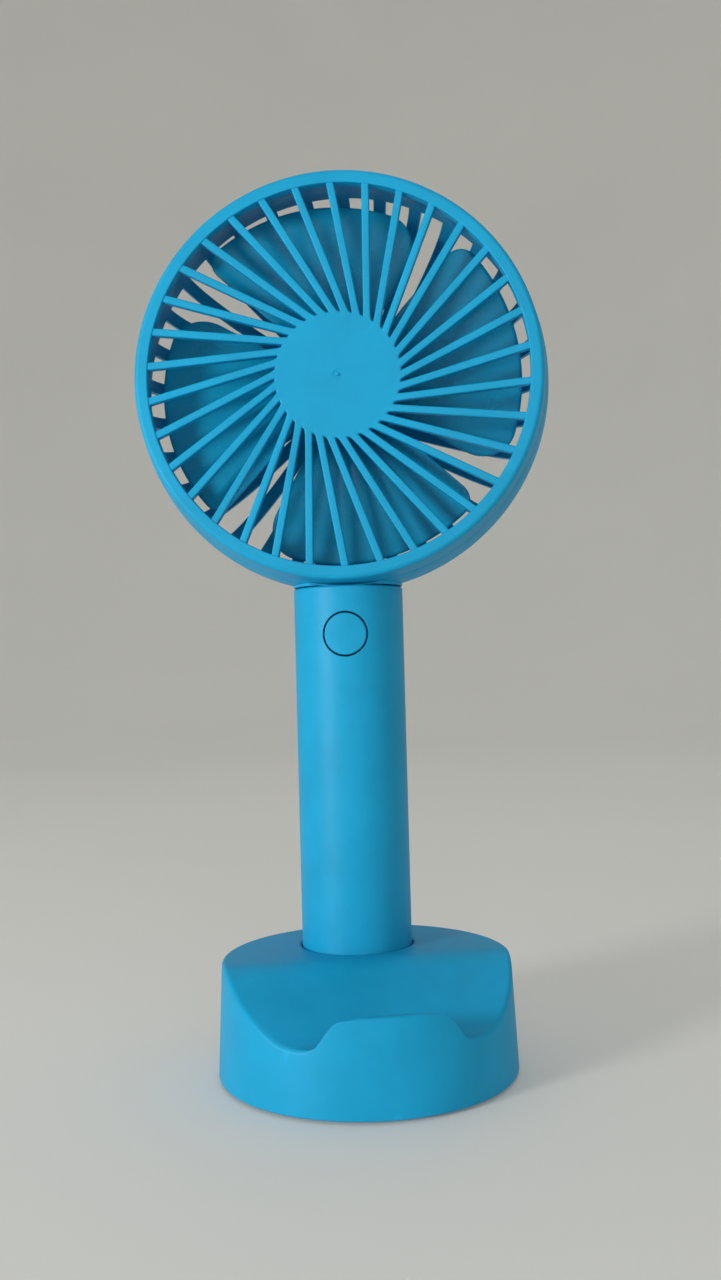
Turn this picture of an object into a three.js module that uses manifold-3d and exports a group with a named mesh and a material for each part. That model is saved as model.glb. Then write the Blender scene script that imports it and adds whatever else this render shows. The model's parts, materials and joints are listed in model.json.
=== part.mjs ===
// Handheld electric fan standing in its desk dock, as separate pieces.
// Millimetres, +Z up. The dock stands on z = 0 with its centre on the origin, and its phone groove faces -Y.
// Two nested groups carry the fan: "fan" turns about the handle's axis, and "head" has the blade axis as its
// Y axis, with y = 0 on the front face of the grille and y growing towards the back.
import * as THREE from "three";
import { mergeVertices } from "three/addons/utils/BufferGeometryUtils.js";
import Module from "manifold-3d";

// ---- driving dimensions -------------------------------------------------------------------------
const GAP = 0.3; // clearance between pieces that touch
const DEG = Math.PI / 180;

const dockBottomRadius = 37.0;
const dockTopRadius = 35.7;
const dockHeight = 28.4;
const dockWall = 2.2;
const dockEdge = 1.0; // rounding of the top edge
const dockLift = 0.7; // the wall stops short of the table, the pad touches it
const padRadius = 34.0;
const padTop = 1.2;
const plateFoot = padTop + GAP;
const plateTop = plateFoot + 2.0;
const grooveCrest = 5.5; // distance of the slope's upper edge in front of the dock's centre
const grooveSlopeFoot = [24.6, 16.7]; // distance to the front, height
const grooveBottom = 15.4;
const grooveLip = [33.6, 22.9];
const socketDepth = 19.4;
const socketOffset = 14.0; // the handle's axis lies behind the dock's centre
const socketWall = 1.85;
const bossRadius = 3.2;
const bossCircle = 27.0;
const bossAngles = [270, 20, 160]; // degrees round the dock's centre
const dockScrew = { head: 2.4, headHeight: 1.1, shank: 1.2, length: 8.0 };

const fanTurn = -13; // degrees; how far the fan is turned in its socket
const handleRadius = 14.2;
const handleWall = 2.0;
const handleTop = 120.4;
const handleFoot = dockHeight - socketDepth;
const tubeInner = handleRadius - handleWall;
const capFloor = handleFoot + 2.0;
const capTop = handleFoot + 3.5;
const capSkirtTop = capTop + 6.0;
const buttonHeight = 108.2;
const buttonRadius = 5.3;
const buttonGap = 0.4;
const buttonFlange = 6.4;
const usbHeight = 98.0;
const lightHeight = 104.6;
const neckScrewHeight = 117.0;

const cellRadius = 9.2; // an 18650 cell
const cellLength = 65.0;
const cellFoot = 21.0;
const boardSize = [15.4, 1.2, 24.0];
const boardPlane = 4.0; // front face of the circuit board, behind the handle's axis
const boardFoot = 88.6;

const headHeight = 172.9; // blade axis above the table
const headFront = -18.0; // front face of the grille, before the handle's axis
const headDepth = 38.0;
const shellRadius = 53.5; // widest circle of the head
const shellWidest = 16.0; // its distance behind the front face
const shellWall = 1.8;
const ringInner = 47.9;
const ringOuter = 51.3;
const ringBack = 7.0; // the grille's back edge
const ringBackRadius = 52.2;
const hubRadius = 16.0;
const hubFront = 1.2;
const spokeCount = 34;
const spokeWidth = 1.6;
const spokeDepth = 2.2;
const spokeSweep = 23.5; // degrees between a spoke's outer and inner ends
const spokePhase = -1.1; // clockwise from the top, seen from the front
const rimSpokeFront = 0.2; // depth of a spoke's front edge where it meets the ring
const rearRibCount = 33;
const rearRibWidth = 3.2;
const rearRibInner = 18.5;
const rearRibOuter = 52.9;
const rearRibSweep = 6;
const rearRibPhase = 306.7; // clockwise from the top, seen from the front
const closedDepth = 19.5; // the shell's side is closed down to this depth, and open between ribs behind it

const bladeCount = 4;
const bladeTip = 46.6;
const bladeHalfSpan = 38.5; // degrees, at its widest
const bladePhase = 81; // clockwise from the top, seen from the front
const bladeCorners = [5.0, 10.0]; // rounding of the front and the rear corner of the tip
const bladeFront = 7.2;
const bladeBack = 17.2;
const bladeThickness = 1.3;
const impellerHubRadius = 12.8;
const shaftRadius = 1.0;
const motorRadius = 12.0;
const motorFront = 20.8;
const motorBack = 31.8;
const motorScrewCircle = 16.6;

// ---- materials ----------------------------------------------------------------------------------
function material(color, roughness, metalness = 0, opacity = 1) {
  return new THREE.MeshStandardMaterial({ color, roughness, metalness, opacity, transparent: opacity < 1 });
}
const bluePlastic = () => material(0x26a5d6, 0.55);
const clearBlue = () => material(0x1c7fb4, 0.25, 0, 0.7);
const blackRubber = () => material(0x202326, 0.85);
const steel = () => material(0xb4b8bc, 0.35, 1);
const darkSteel = () => material(0x55585c, 0.5, 1);
const brass = () => material(0xc8a255, 0.35, 1);
const copper = () => material(0xb8733a, 0.4, 1);
const blackPlastic = () => material(0x1b1c1e, 0.6);
const whitePlastic = () => material(0xe6e7e4, 0.5);

// ---- solids -------------------------------------------------------------------------------------
const wasm = await Module();
wasm.setup();

// A closed three.js geometry as a manifold-3d solid, turned the right way out.
function solid(geometry) {
  const bare = geometry.index ? geometry.toNonIndexed() : geometry.clone();
  bare.deleteAttribute("normal");
  bare.deleteAttribute("uv");
  const merged = mergeVertices(bare, 1e-4);
  const triVerts = new Uint32Array(merged.index.array);
  const vertProperties = merged.attributes.position.array;
  const made = new wasm.Manifold(new wasm.Mesh({ numProp: 3, vertProperties, triVerts }));
  if (made.volume() > 0) return made;
  triVerts.reverse();
  return new wasm.Manifold(new wasm.Mesh({ numProp: 3, vertProperties, triVerts }));
}

function geometryOf(made) {
  const mesh = made.getMesh();
  const positions = new Float32Array(mesh.numVert * 3);
  for (let i = 0; i < mesh.numVert; i++) {
    positions.set(mesh.vertProperties.subarray(i * mesh.numProp, i * mesh.numProp + 3), i * 3);
  }
  const indexed = new THREE.BufferGeometry();
  indexed.setAttribute("position", new THREE.BufferAttribute(positions, 3));
  indexed.setIndex(new THREE.BufferAttribute(mesh.triVerts, 1));
  const flat = indexed.toNonIndexed();
  flat.computeVertexNormals();
  return flat;
}

const union = (...solids) => solids.reduce((sum, next) => sum.add(next));

// A profile of [radius, height] points turned about Z.
function turned(points, segments = 48) {
  const profile = points.map(([radius, height]) => new THREE.Vector2(radius, height));
  if (points[0][0] > 0) profile.push(profile[0].clone());
  return solid(new THREE.LatheGeometry(profile, segments).rotateX(Math.PI / 2));
}

// A profile of [radius, depth] points turned about Y, for the head and the motor.
function turnedY(points, segments = 48) {
  const profile = points.map(([radius, depth]) => new THREE.Vector2(radius, depth));
  if (points[0][0] > 0) profile.push(profile[0].clone());
  return solid(new THREE.LatheGeometry(profile, segments));
}

const rod = (radius, low, high, segments) =>
  turned([[0, low], [radius, low], [radius, high], [0, high]], segments);
const rodY = (radius, low, high, segments) =>
  turnedY([[0, low], [radius, low], [radius, high], [0, high]], segments);
const tube = (outer, inner, low, high, segments) =>
  turned([[inner, low], [outer, low], [outer, high], [inner, high]], segments);
const tubeY = (outer, inner, low, high, segments) =>
  turnedY([[inner, low], [outer, low], [outer, high], [inner, high]], segments);

function box(x0, x1, y0, y1, z0, z1) {
  const block = new THREE.BoxGeometry(x1 - x0, y1 - y0, z1 - z0);
  return solid(block.translate((x0 + x1) / 2, (y0 + y1) / 2, (z0 + z1) / 2));
}

// A closed outline drawn in the YZ plane, drawn out along X by the given length each way.
function prismX(outline, half) {
  const settings = { depth: 2 * half, bevelEnabled: false, curveSegments: 4 };
  const block = new THREE.ExtrudeGeometry(outline, settings);
  block.translate(0, 0, -half);
  // The outline's first coordinate becomes Y and its second Z.
  const toYZ = new THREE.Matrix4().makeBasis(
    new THREE.Vector3(0, 1, 0), new THREE.Vector3(0, 0, 1), new THREE.Vector3(1, 0, 0));
  return solid(block.applyMatrix4(toYZ));
}

// A round wire along hand-placed points.
function wire(points, radius, steps, sides = 8) {
  const path = new THREE.CatmullRomCurve3(points.map((p) => new THREE.Vector3(...p)));
  const section = new THREE.Shape();
  for (let i = 0; i < sides; i++) {
    const a = (i / sides) * 2 * Math.PI;
    if (i === 0) section.moveTo(radius, 0);
    else section.lineTo(radius * Math.cos(a), radius * Math.sin(a));
  }
  return solid(new THREE.ExtrudeGeometry(section, { steps, extrudePath: path, bevelEnabled: false }));
}

// A pan-head screw along +Z from its head's outer face, with a crossed driver slot.
function screw(headRadius, headHeightOfScrew, shankRadius, length) {
  const tip = shankRadius;
  const body = turned([
    [0, 0], [headRadius * 0.8, 0], [headRadius, headHeightOfScrew * 0.4], [headRadius, headHeightOfScrew],
    [shankRadius, headHeightOfScrew], [shankRadius, length - tip], [shankRadius * 0.25, length], [0, length],
  ], 10);
  const slot = headRadius * 0.55;
  const depth = headHeightOfScrew * 0.55;
  const width = headRadius * 0.12;
  return body
    .subtract(box(-slot, slot, -width, width, -1, depth))
    .subtract(box(-width, width, -slot, slot, -1, depth));
}

const object = new THREE.Group();
const fan = new THREE.Group();
fan.position.set(0, socketOffset, 0);
fan.rotation.z = fanTurn * DEG;
object.add(fan);
const head = new THREE.Group();
head.position.set(0, headFront, headHeight);
fan.add(head);

function piece(name, made, finish, parent) {
  const mesh = new THREE.Mesh(geometryOf(made), finish());
  mesh.name = name;
  parent.add(mesh);
  return mesh;
}

// ---- dock ---------------------------------------------------------------------------------------
// The space above the dock's top: a slope that leans a phone back, a rounded groove and a low front lip.
// Coordinates are [y, z]; the front is -Y.
function aboveTheTop() {
  const [footFront, footHeight] = grooveSlopeFoot;
  const [lipFront, lipHeight] = grooveLip;
  const far = dockBottomRadius + 10;
  const high = dockHeight + 20;
  const slope = (dockHeight - footHeight) / (footFront - grooveCrest);
  const easing = 3.5; // half length of the rounding where the flat top turns into the slope
  const outline = new THREE.Shape();
  outline.moveTo(-grooveCrest + easing, dockHeight);
  outline.quadraticCurveTo(-grooveCrest, dockHeight, -grooveCrest - easing, dockHeight - easing * slope);
  outline.lineTo(-footFront, footHeight);
  outline.bezierCurveTo(-footFront - 2, grooveBottom + 0.1, -footFront - 5.4, grooveBottom - 0.9,
    -lipFront + 2.4, grooveBottom + 1.2);
  outline.lineTo(-lipFront + 0.5, lipHeight - 0.8);
  outline.quadraticCurveTo(-lipFront + 0.2, lipHeight, -lipFront - 0.5, lipHeight);
  outline.lineTo(-far, lipHeight);
  outline.lineTo(-far, high);
  outline.lineTo(-grooveCrest + easing, high);
  return prismX(outline, far);
}

function dockShell() {
  const wallRadius = (z) => dockBottomRadius + (dockTopRadius - dockBottomRadius) * (z / dockHeight);
  const edge = [];
  for (let i = 0; i <= 3; i++) {
    const a = (i / 3) * (Math.PI / 2);
    edge.push([
      wallRadius(dockHeight) - dockEdge + dockEdge * Math.cos(a),
      dockHeight - dockEdge + dockEdge * Math.sin(a),
    ]);
  }
  const block = turned([[0, dockLift], [wallRadius(dockLift), dockLift], ...edge, [0, dockHeight]], 72);
  const ceiling = dockHeight - dockWall;
  const roomShape = turned([
    [0, -1], [wallRadius(0) - dockWall, -1], [wallRadius(ceiling) - dockWall, ceiling], [0, ceiling],
  ], 48);
  // Under the slope and the groove the room's ceiling comes down with them.
  const lowCeiling = grooveBottom - dockWall;
  const [footFront, footHeight] = grooveSlopeFoot;
  const kept = new THREE.Shape();
  kept.moveTo(-grooveCrest + dockWall, ceiling);
  kept.lineTo(-footFront + 1.0, footHeight - dockWall);
  kept.lineTo(-footFront - 1.0, lowCeiling);
  kept.lineTo(-dockBottomRadius - 5, lowCeiling);
  kept.lineTo(-dockBottomRadius - 5, dockHeight + 5);
  kept.lineTo(-grooveCrest + dockWall, dockHeight + 5);
  const socketRadius = handleRadius + 0.35;
  const socket = rod(socketRadius + socketWall, handleFoot - GAP - 1.7, dockHeight + 5, 48)
    .translate(0, socketOffset, 0);
  let room = roomShape.subtract(prismX(kept, dockBottomRadius)).subtract(socket);
  let made = block;
  const bore = turned([
    [0, handleFoot - GAP], [socketRadius, handleFoot - GAP], [socketRadius, dockHeight - 0.4],
    [socketRadius + 0.5, dockHeight + 0.1], [socketRadius + 0.5, dockHeight + 5], [0, dockHeight + 5],
  ], 48).translate(0, socketOffset, 0);
  for (const angle of bossAngles) {
    const x = bossCircle * Math.cos(angle * DEG);
    const y = bossCircle * Math.sin(angle * DEG);
    room = room.subtract(rod(bossRadius, plateTop + GAP, dockHeight, 20).translate(x, y, 0));
  }
  made = made.subtract(room).subtract(aboveTheTop()).subtract(bore);
  for (const angle of bossAngles) {
    const x = bossCircle * Math.cos(angle * DEG);
    const y = bossCircle * Math.sin(angle * DEG);
    made = made.subtract(rod(1.5, plateTop - 1, 10.2, 16).translate(x, y, 0));
  }
  return made;
}

function dockPlate() {
  let made = rod(dockBottomRadius - dockWall - 0.4, plateFoot, plateTop, 48);
  for (const angle of bossAngles) {
    const x = bossCircle * Math.cos(angle * DEG);
    const y = bossCircle * Math.sin(angle * DEG);
    const hole = turned([
      [0, 0], [dockScrew.head + GAP, 0], [dockScrew.head + GAP, plateFoot + 1.4], [1.6, plateFoot + 1.4],
      [1.6, 9], [0, 9],
    ], 20);
    made = made.subtract(hole.translate(x, y, 0));
  }
  return made;
}

piece("dock_shell", dockShell(), bluePlastic, object);
piece("dock_bottom_plate", dockPlate(), bluePlastic, object);
piece("dock_grip_pad", turned([
  [0, 0], [padRadius - 0.4, 0], [padRadius, 0.4], [padRadius, padTop], [0, padTop],
], 48), blackRubber, object);
bossAngles.forEach((angle, i) => {
  const made = screw(dockScrew.head, dockScrew.headHeight, dockScrew.shank, dockScrew.length);
  const place = [bossCircle * Math.cos(angle * DEG), bossCircle * Math.sin(angle * DEG), plateFoot + 0.05];
  piece("dock_screw_" + (i + 1), made, steel, object).position.set(...place);
});

// ---- battery cap, which closes the handle's lower end -------------------------------------------
function batteryCap() {
  const skirt = tubeInner - 0.4;
  const made = turned([
    [0, handleFoot], [handleRadius - 0.8, handleFoot], [handleRadius, handleFoot + 0.8],
    [handleRadius, capTop], [skirt, capTop], [skirt, capSkirtTop], [skirt - 1.4, capSkirtTop],
    [skirt - 1.4, capFloor], [0, capFloor],
  ], 48);
  const coinSlot = box(-8, 8, -0.9, 0.9, handleFoot - 1, handleFoot + 1.1);
  return made.subtract(coinSlot);
}

function batterySpring() {
  const turns = 4;
  const low = capFloor + 1.3;
  const high = cellFoot - 0.9;
  const points = [];
  const steps = turns * 10;
  for (let i = 0; i <= steps; i++) {
    const t = i / steps;
    const radius = 7.2 - 3.0 * t;
    const a = t * turns * 2 * Math.PI;
    points.push([radius * Math.cos(a), radius * Math.sin(a), low + (high - low) * t]);
  }
  return wire(points, 0.45, turns * 12, 5);
}

piece("battery_cap", batteryCap(), bluePlastic, fan);
piece("cap_contact_plate", rod(9.0, capFloor + GAP, capFloor + GAP + 0.4, 32), brass, fan);
piece("battery_spring", batterySpring(), steel, fan);

// ---- handle -------------------------------------------------------------------------------------
function usbOpening(grow) {
  return box(-3.8 - grow, 3.8 + grow, 3, handleRadius + 3, usbHeight - 1.35 - grow, usbHeight + 1.35 + grow);
}

function handleTube() {
  const foot = capTop + GAP;
  const made = turned([
    [tubeInner, foot], [handleRadius, foot], [handleRadius, handleTop - 0.4], [handleRadius - 0.4, handleTop],
    [tubeInner, handleTop],
  ], 60);
  const buttonHole = rodY(buttonRadius + buttonGap, -handleRadius - 2, -5, 32).translate(0, 0, buttonHeight);
  const lightHole = rodY(1.1, 5, handleRadius + 2, 16).translate(0, 0, lightHeight);
  const screwHole = turnedY([
    [0, 5], [1.6, 5], [1.6, handleRadius - 1.3], [2.4, handleRadius - 1.3], [2.4, handleRadius + 2],
    [0, handleRadius + 2],
  ], 20).translate(0, 0, neckScrewHeight);
  return made.subtract(buttonHole).subtract(usbOpening(0.6)).subtract(lightHole).subtract(screwHole);
}

// A half pipe that cradles the cell, with a shelf above it and the circuit board's bay on top.
function batteryHolder() {
  const outer = tubeInner - GAP;
  const inner = cellRadius + 0.4;
  const low = capSkirtTop + 0.7;
  const high = boardFoot + boardSize[2] + 0.4;
  const halfSpace = box(-20, 20, 0.5, 20, low - 5, high + 5);
  const shelf = rod(outer, cellFoot + cellLength + 1.2, cellFoot + cellLength + 2.2, 48);
  return tube(outer, inner, low, high, 48).add(shelf).intersect(halfSpace)
    .subtract(usbOpening(0.5))
    .subtract(rodY(1.1, 5, 20, 16).translate(0, 0, lightHeight));
}

function batteryCell() {
  const top = cellFoot + cellLength - 1.2;
  return turned([
    [0, cellFoot], [cellRadius - 0.5, cellFoot], [cellRadius, cellFoot + 0.5], [cellRadius, top - 0.5],
    [cellRadius - 0.5, top], [3.0, top], [3.0, top + 1.0], [0, top + 1.0],
  ], 40);
}

function powerButton() {
  const face = rodY(buttonRadius, -handleRadius - 1, -tubeInner + 0.6, 32).translate(0, 0, buttonHeight)
    .intersect(rod(handleRadius - 0.05, buttonHeight - 10, buttonHeight + 10, 72));
  const flange = rodY(buttonFlange, -9.9, -8.9, 24).translate(0, 0, buttonHeight);
  const neck = rodY(buttonRadius - 0.5, -tubeInner, -9.5, 24).translate(0, 0, buttonHeight);
  const stem = rodY(1.6, -9.2, -8.0, 16).translate(0, 0, buttonHeight);
  return union(face, neck, flange, stem);
}

function tactSwitch() {
  const body = box(-3, 3, 0.3, boardPlane - GAP, buttonHeight - 3, buttonHeight + 3);
  return body.subtract(rodY(2.0, -1, 2.4, 16).translate(0, 0, buttonHeight));
}

function usbSocket() {
  const back = boardPlane + boardSize[1] + GAP;
  const mouth = tubeInner - GAP;
  const shell = box(-3.8, 3.8, back, mouth, usbHeight - 1.35, usbHeight + 1.35);
  const opening = box(-3.4, 3.4, mouth - 5.2, mouth + 1, usbHeight - 0.95, usbHeight + 0.95);
  const tongue = box(-2.6, 2.6, back + 0.5, mouth - 1.0, usbHeight + 0.1, usbHeight + 0.7);
  return shell.subtract(opening).add(tongue);
}

piece("handle_tube", handleTube(), bluePlastic, fan);
piece("battery_holder", batteryHolder(), blackPlastic, fan);
piece("battery_cell", batteryCell(), () => material(0x3f9a5a, 0.45), fan);
piece("top_contact", box(-4, 4, -3, 3, cellFoot + cellLength + GAP, cellFoot + cellLength + 0.8), brass, fan);
piece("circuit_board", box(-boardSize[0] / 2, boardSize[0] / 2, boardPlane, boardPlane + boardSize[1],
  boardFoot, boardFoot + boardSize[2]), () => material(0x1f6b3a, 0.4), fan);
piece("usb_socket", usbSocket(), steel, fan);
piece("charge_light", rodY(0.8, boardPlane + boardSize[1] + GAP, handleRadius - 0.2, 12)
  .translate(0, 0, lightHeight), whitePlastic, fan);
piece("tact_switch", tactSwitch(), blackPlastic, fan);
piece("switch_plunger", rodY(1.7, -7.7, 1.2, 16).translate(0, 0, buttonHeight), whitePlastic, fan);
piece("power_button", powerButton(), bluePlastic, fan);
const neckScrew = piece("neck_screw", screw(2.0, 0.9, 1.0, 4.4), steel, fan);
neckScrew.rotation.x = Math.PI / 2;
neckScrew.position.set(0, handleRadius - 0.3, neckScrewHeight);

// ---- head: rear shell ---------------------------------------------------------------------------
// The bowl's outline from its front edge to the middle of the back, moved in by the given wall.
function bowl(inset) {
  const shape = new THREE.Path();
  const front = ringBack + GAP;
  const deep = headDepth - inset;
  const flat = 18;
  shape.moveTo(ringBackRadius + 0.05 - inset, front);
  shape.quadraticCurveTo(shellRadius - 0.2 - inset, shellWidest - 5, shellRadius - inset, shellWidest);
  shape.bezierCurveTo(shellRadius - inset, shellWidest + 10, 44 - inset, deep, flat, deep);
  return shape.getPoints(4).map((p) => [p.x, p.y]);
}

function rearShell() {
  const segments = spokeCount;
  const outside = turnedY([[0, ringBack + GAP], ...bowl(0), [0, headDepth]], segments);
  const inside = turnedY([[0, ringBack - 2], [ringBackRadius - shellWall, ringBack - 2], ...bowl(shellWall),
    [0, headDepth - shellWall]], segments);
  const skin = outside.subtract(inside);

  // The back is open between straight ribs, except for a closed strip behind the motor's leads.
  const spine = box(-4, 4, shellWidest, headDepth + 5, -60, 0);
  const openRing = tubeY(shellRadius + 5, rearRibInner, closedDepth, headDepth + 5, segments).subtract(spine);
  let back = skin.subtract(openRing);
  for (let i = 0; i < rearRibCount; i++) back = back.add(rearRib(i));
  const cupOuter = motorRadius + 2.0;
  const cup = tubeY(cupOuter, motorRadius + 0.4, motorFront + 3.2, headDepth - 1, 48);
  const posts = [-1, 1].map((side) =>
    rodY(2.4, motorFront + 0.3, headDepth - 1, 16).translate(side * motorScrewCircle, 0, 0));
  const leadNotch = box(-4.2, 4.2, headDepth - shellWall - 4, headDepth - shellWall, -20, -8);

  let made = union(back, cup, ...posts);
  const motorRoom = rodY(motorRadius + 0.4, motorFront - 5, headDepth - shellWall, 48);
  made = made.subtract(motorRoom).subtract(leadNotch);
  for (const side of [-1, 1]) {
    const pilot = rodY(1.2, motorFront - 1, motorFront + 8, 12);
    made = made.subtract(pilot.translate(side * motorScrewCircle, 0, 0));
  }

  // The neck: a short round column under the bowl with a spigot that plugs into the handle.
  const intoHead = (shape) => shape.translate(0, -headFront, -headHeight);
  const neckFoot = handleTop + GAP;
  const column = intoHead(rod(handleRadius, neckFoot, neckFoot + 14, 64)).subtract(inside);
  const floor = intoHead(rod(handleRadius, neckFoot, neckFoot + 2.3, 64));
  const grilleRoom = rodY(ringBackRadius + 0.5, -5, ringBack + GAP, 2 * spokeCount);
  const spigotFoot = buttonHeight + buttonFlange + 0.5;
  const spigot = intoHead(tube(tubeInner - GAP, tubeInner - 2.7, spigotFoot, neckFoot + 1, 48));
  const handleRoom = intoHead(tube(handleRadius + 2, tubeInner - 0.2, 100, neckFoot, 64));
  const below = intoHead(rod(tubeInner - 0.1, 100, neckFoot, 64));
  const leadHole = intoHead(rod(4.2, 100, neckFoot + 5, 24).translate(0, 4, 0));
  made = made.subtract(below).subtract(handleRoom).add(column).add(floor).add(spigot);
  made = made.subtract(grilleRoom).subtract(leadHole);
  const pilot = intoHead(rodY(1.25, 5, 13, 12).translate(0, 0, neckScrewHeight));
  return made.subtract(pilot);
}

// How far behind the front face the bowl lies at a radius, from the bowl's own outline.
function bowlDepth(radius, inset) {
  const outline = bowl(inset);
  for (let i = outline.length - 1; i > 0; i--) {
    const [near, far] = [outline[i], outline[i - 1]];
    if (radius <= far[0]) return near[1] + ((far[1] - near[1]) * (radius - near[0])) / (far[0] - near[0]);
  }
  return shellWidest;
}

// A rib of the open back, bent to lie in the bowl's wall.
function rearRib(index) {
  const turn = rearRibPhase + (index * 360) / rearRibCount;
  const bar = slantedBar(turn, rearRibInner - 1, rearRibOuter, rearRibSweep, rearRibWidth, -1, 1, 9);
  return bar.warp((v) => {
    const radius = Math.hypot(v[0], v[2]);
    v[1] = v[1] < 0 ? bowlDepth(radius, shellWall) + 0.2 : bowlDepth(radius, 0) - 0.2;
  });
}

// A straight bar between two circles. Angles run clockwise from the top, seen from the front: the outer end's
// own angle, and how far round the inner end is swept from it.
function slantedBar(outerTurn, innerRadius, outerRadius, sweep, width, front, back, steps = 1) {
  const outerAngle = outerTurn * DEG;
  const innerAngle = outerAngle + sweep * DEG;
  const from = new THREE.Vector2(innerRadius * Math.sin(innerAngle), innerRadius * Math.cos(innerAngle));
  const to = new THREE.Vector2(outerRadius * Math.sin(outerAngle), outerRadius * Math.cos(outerAngle));
  const run = to.clone().sub(from);
  const bar = new THREE.BoxGeometry(width, back - front, run.length(), 1, 1, steps);
  bar.rotateY(Math.atan2(run.x, run.y));
  bar.translate((from.x + to.x) / 2, (front + back) / 2, (from.y + to.y) / 2);
  return solid(bar);
}

piece("rear_shell", rearShell(), bluePlastic, head);

// ---- head: front grille -------------------------------------------------------------------------
function frontGrille() {
  const rim = turnedY([
    [ringInner, 0.6], [ringInner + 0.6, 0], [ringOuter - 1.1, 0], [ringOuter - 0.2, 0.5], [ringOuter, 1.4],
    [ringBackRadius, ringBack], [ringBackRadius - shellWall, ringBack], [ringOuter - 1.7, 3.0],
    [ringInner, 3.0],
  ], 1.5 * spokeCount);
  const hub = turnedY([
    [0, hubFront], [hubRadius - 0.5, hubFront], [hubRadius, hubFront + 0.5],
    [hubRadius, hubFront + spokeDepth], [0, hubFront + spokeDepth],
  ], spokeCount);
  const gateMark = rodY(0.5, hubFront - 0.2, hubFront + 1, 12);
  let made = rim.add(hub).add(gateMark);
  const innerEnd = hubRadius - 2.0;
  const outerEnd = ringInner + 0.8;
  for (let i = 0; i < spokeCount; i++) {
    made = made.add(slopedSpoke(i, innerEnd, outerEnd));
  }
  return made;
}

// A spoke's front edge runs from the recessed hub out to the rim's front.
function slopedSpoke(index, innerRadius, outerRadius) {
  const turn = spokePhase + (index * 360) / spokeCount;
  const bar = slantedBar(turn, innerRadius, outerRadius, spokeSweep, spokeWidth, 0, spokeDepth);
  return bar.warp((v) => {
    const out = (Math.hypot(v[0], v[2]) - innerRadius) / (outerRadius - innerRadius);
    v[1] += hubFront + (rimSpokeFront - hubFront) * Math.min(Math.max(out, 0), 1);
  });
}

piece("front_grille", frontGrille(), bluePlastic, head);

// ---- head: impeller -----------------------------------------------------------------------------
// One blade as a closed grid: part of a screw surface between the hub and the tip, with rounded corners.
function blade(centreAngle) {
  const across = 8;
  const rows = [0, 0.3, 0.65, 0.8, 0.9, 0.96, 1];
  const along = rows.length - 1;
  const root = impellerHubRadius - 0.8;
  const middle = (bladeFront + bladeBack) / 2;
  const rise = (bladeBack - bladeFront - bladeThickness) / 2;
  // Half the blade's angle on one side of its centre line, in degrees, at a radius.
  const reach = (radius, corner) => {
    const into = Math.max(0, radius - bladeTip + corner);
    const cut = corner - Math.sqrt(corner * corner - into * into);
    const rootEase = 2.5 * Math.max(0, 1 - (radius - root) / 12);
    return bladeHalfSpan - cut / radius / DEG - rootEase;
  };
  const vertex = (i, j, side) => {
    const radius = root + (bladeTip - root) * rows[j];
    const share = (2 * i) / across - 1;
    const turn = share * reach(radius, bladeCorners[share < 0 ? 0 : 1]);
    const depth = middle + (rise * turn) / bladeHalfSpan + (side * bladeThickness) / 2;
    const angle = (centreAngle + turn) * DEG;
    return [radius * Math.sin(angle), depth, radius * Math.cos(angle)];
  };
  const positions = [];
  const quad = (a, b, c, d) => positions.push(...a, ...b, ...c, ...a, ...c, ...d);
  for (let i = 0; i < across; i++) {
    for (let j = 0; j < along; j++) {
      quad(vertex(i, j, -1), vertex(i + 1, j, -1), vertex(i + 1, j + 1, -1), vertex(i, j + 1, -1));
      quad(vertex(i, j, 1), vertex(i, j + 1, 1), vertex(i + 1, j + 1, 1), vertex(i + 1, j, 1));
    }
    quad(vertex(i, 0, -1), vertex(i, 0, 1), vertex(i + 1, 0, 1), vertex(i + 1, 0, -1));
    quad(vertex(i, along, -1), vertex(i + 1, along, -1), vertex(i + 1, along, 1), vertex(i, along, 1));
  }
  for (let j = 0; j < along; j++) {
    quad(vertex(0, j, -1), vertex(0, j + 1, -1), vertex(0, j + 1, 1), vertex(0, j, 1));
    quad(vertex(across, j, -1), vertex(across, j, 1), vertex(across, j + 1, 1), vertex(across, j + 1, -1));
  }
  const grid = new THREE.BufferGeometry();
  grid.setAttribute("position", new THREE.Float32BufferAttribute(positions, 3));
  return solid(grid);
}

function impeller() {
  const front = bladeFront - 0.6;
  const back = bladeBack + 0.2;
  const hub = turnedY([
    [0, front], [impellerHubRadius - 2, front], [impellerHubRadius - 0.5, front + 0.5],
    [impellerHubRadius, front + 2], [impellerHubRadius, back], [impellerHubRadius - 1.6, back],
    [impellerHubRadius - 1.6, front + 2.2], [3.0, front + 2.2], [3.0, back], [0, back],
  ], 48);
  let made = hub;
  for (let i = 0; i < bladeCount; i++) made = made.add(blade(bladePhase + (i * 360) / bladeCount));
  const inner = tubeY(impellerHubRadius - 1.6, 3.0, front + 2.2, back + 3, 48);
  return made.subtract(inner).subtract(rodY(shaftRadius + 0.15, front + 1.4, back + 1, 16));
}
piece("impeller", impeller(), clearBlue, head);
piece("motor_shaft", rodY(shaftRadius, bladeFront + 1.2, motorBack + 2.2, 16), steel, head);

// ---- head: motor --------------------------------------------------------------------------------
function motorCan() {
  const wall = 0.8;
  return turnedY([
    [3.2, motorFront], [motorRadius - 0.8, motorFront], [motorRadius, motorFront + 0.8],
    [motorRadius, motorBack], [motorRadius - wall, motorBack], [motorRadius - wall, motorFront + wall],
    [3.2, motorFront + wall],
  ], 32);
}

function magnet(side) {
  const half = box(side > 0 ? 1.2 : -20, side > 0 ? 20 : -1.2, 0, 60, -20, 20);
  return tubeY(motorRadius - 1.1, motorRadius - 3.3, motorFront + 1.6, motorBack - 1.2, 40).intersect(half);
}

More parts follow.
